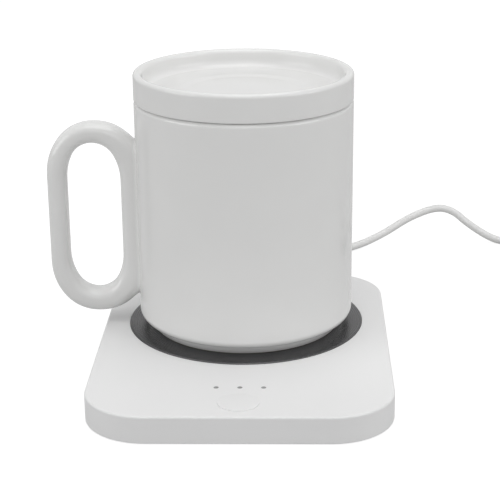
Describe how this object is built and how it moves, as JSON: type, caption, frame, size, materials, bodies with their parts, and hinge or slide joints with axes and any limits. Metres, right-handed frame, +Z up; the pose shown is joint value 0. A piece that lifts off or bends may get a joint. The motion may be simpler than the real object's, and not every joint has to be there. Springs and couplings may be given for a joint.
{
  "type": "electric mug warmer",
  "caption": "Thin slab mug warmer with a round heating plate, a press button, indicator lights and a low voltage cord, carrying a lidded ceramic mug with a loop handle.",
  "frame": {"origin": "middle of the non-slip pad's underside, on the table, at the centre of the base's plan", "axes": "+Z up from the table, +Y from the front with the button towards the back where the cord leaves, +X to the right, away from the mug's handle"},
  "size_m": [0.3137, 0.2305, 0.1122],
  "materials": {
    "cover_white": "fine satin texture",
    "bottom_white": "fine satin texture",
    "silicone_grey": "soft matt",
    "plate_metal": "dark satin coating, fine turned grain",
    "gasket_silicone": "soft matt",
    "film_amber": "smooth film with an etched track",
    "felt_grey": "pressed fibre",
    "steel_bright": "zinc plated",
    "screw_steel": "zinc plated",
    "sensor_glass": "glass bead",
    "fuse_can": "drawn metal can",
    "wire_white": "extruded insulation",
    "wire_blue": "extruded insulation",
    "wire_red": "extruded insulation",
    "board_green": "solder resist over glass fibre",
    "chip_black": "moulded resin",
    "led_white": "clear resin",
    "pipe_clear": "clear grey plastic, unlit",
    "switch_black": "moulded",
    "plunger_ivory": "moulded",
    "button_white": "fine satin texture",
    "tie_nylon": "moulded nylon",
    "tie_white": "soft ribbon",
    "cord_white": "smooth extruded jacket",
    "boot_white": "moulded",
    "plug_white": "moulded",
    "shell_steel": "bright nickel plate",
    "tongue_white": "moulded",
    "contact_gold": "gold plate",
    "glaze_white": "clear gloss glaze over white stoneware",
    "lid_glaze": "clear gloss glaze over white stoneware"
  },
  "bodies": {
    "base": {"board_chips": "chip_black", "board_screws": "screw_steel", "bottom_cover": "bottom_white", "case_screws": "screw_steel", "circuit_board": "board_green", "clamp_plate": "steel_bright", "coil_tie": "tie_white", "cord_coil": "cord_white", "cord_lead": "cord_white", "cord_stop": "tie_nylon", "cord_tail": "cord_white", "fuse_clip": "steel_bright", "heater_film": "film_amber", "heater_leads": "wire_white", "heater_screws": "screw_steel", "heating_plate": "plate_metal", "indicator_leds": "led_white", "insulation_pad": "felt_grey", "light_pipes": "pipe_clear", "microcontroller": "chip_black", "non_slip_pad": "silicone_grey", "plate_gasket": "gasket_silicone", "plug_body": "plug_white", "plug_contacts": "contact_gold", "plug_lead": "cord_white", "plug_shell": "shell_steel", "plug_tongue": "tongue_white", "power_transistor": "chip_black", "strain_relief": "boot_white", "supply_leads": "wire_red", "switch_body": "switch_black", "thermal_fuse": "fuse_can", "thermistor": "sensor_glass", "thermistor_leads": "wire_blue", "top_cover": "cover_white"},
    "button": {"button_cap": "button_white", "switch_plunger": "plunger_ivory"},
    "mug": {"mug_body": "glaze_white", "mug_handle": "glaze_white"},
    "lid": {"lid": "lid_glaze"}
  },
  "joints": [
    {"name": "button_press", "type": "slide", "parent": "base", "child": "button", "axis": [0, 0, -1], "range_m": [0, 0.0005], "stiffness_N_per_m": 2500, "springref_m": -0.0004},
    {"name": "mug_lift", "type": "slide", "parent": "base", "child": "mug", "axis": [0, 0, 1], "range_m": [0, 0.12]},
    {"name": "lid_lift", "type": "slide", "parent": "mug", "child": "lid", "axis": [0, 0, 1], "range_m": [0, 0.06]}
  ]
}
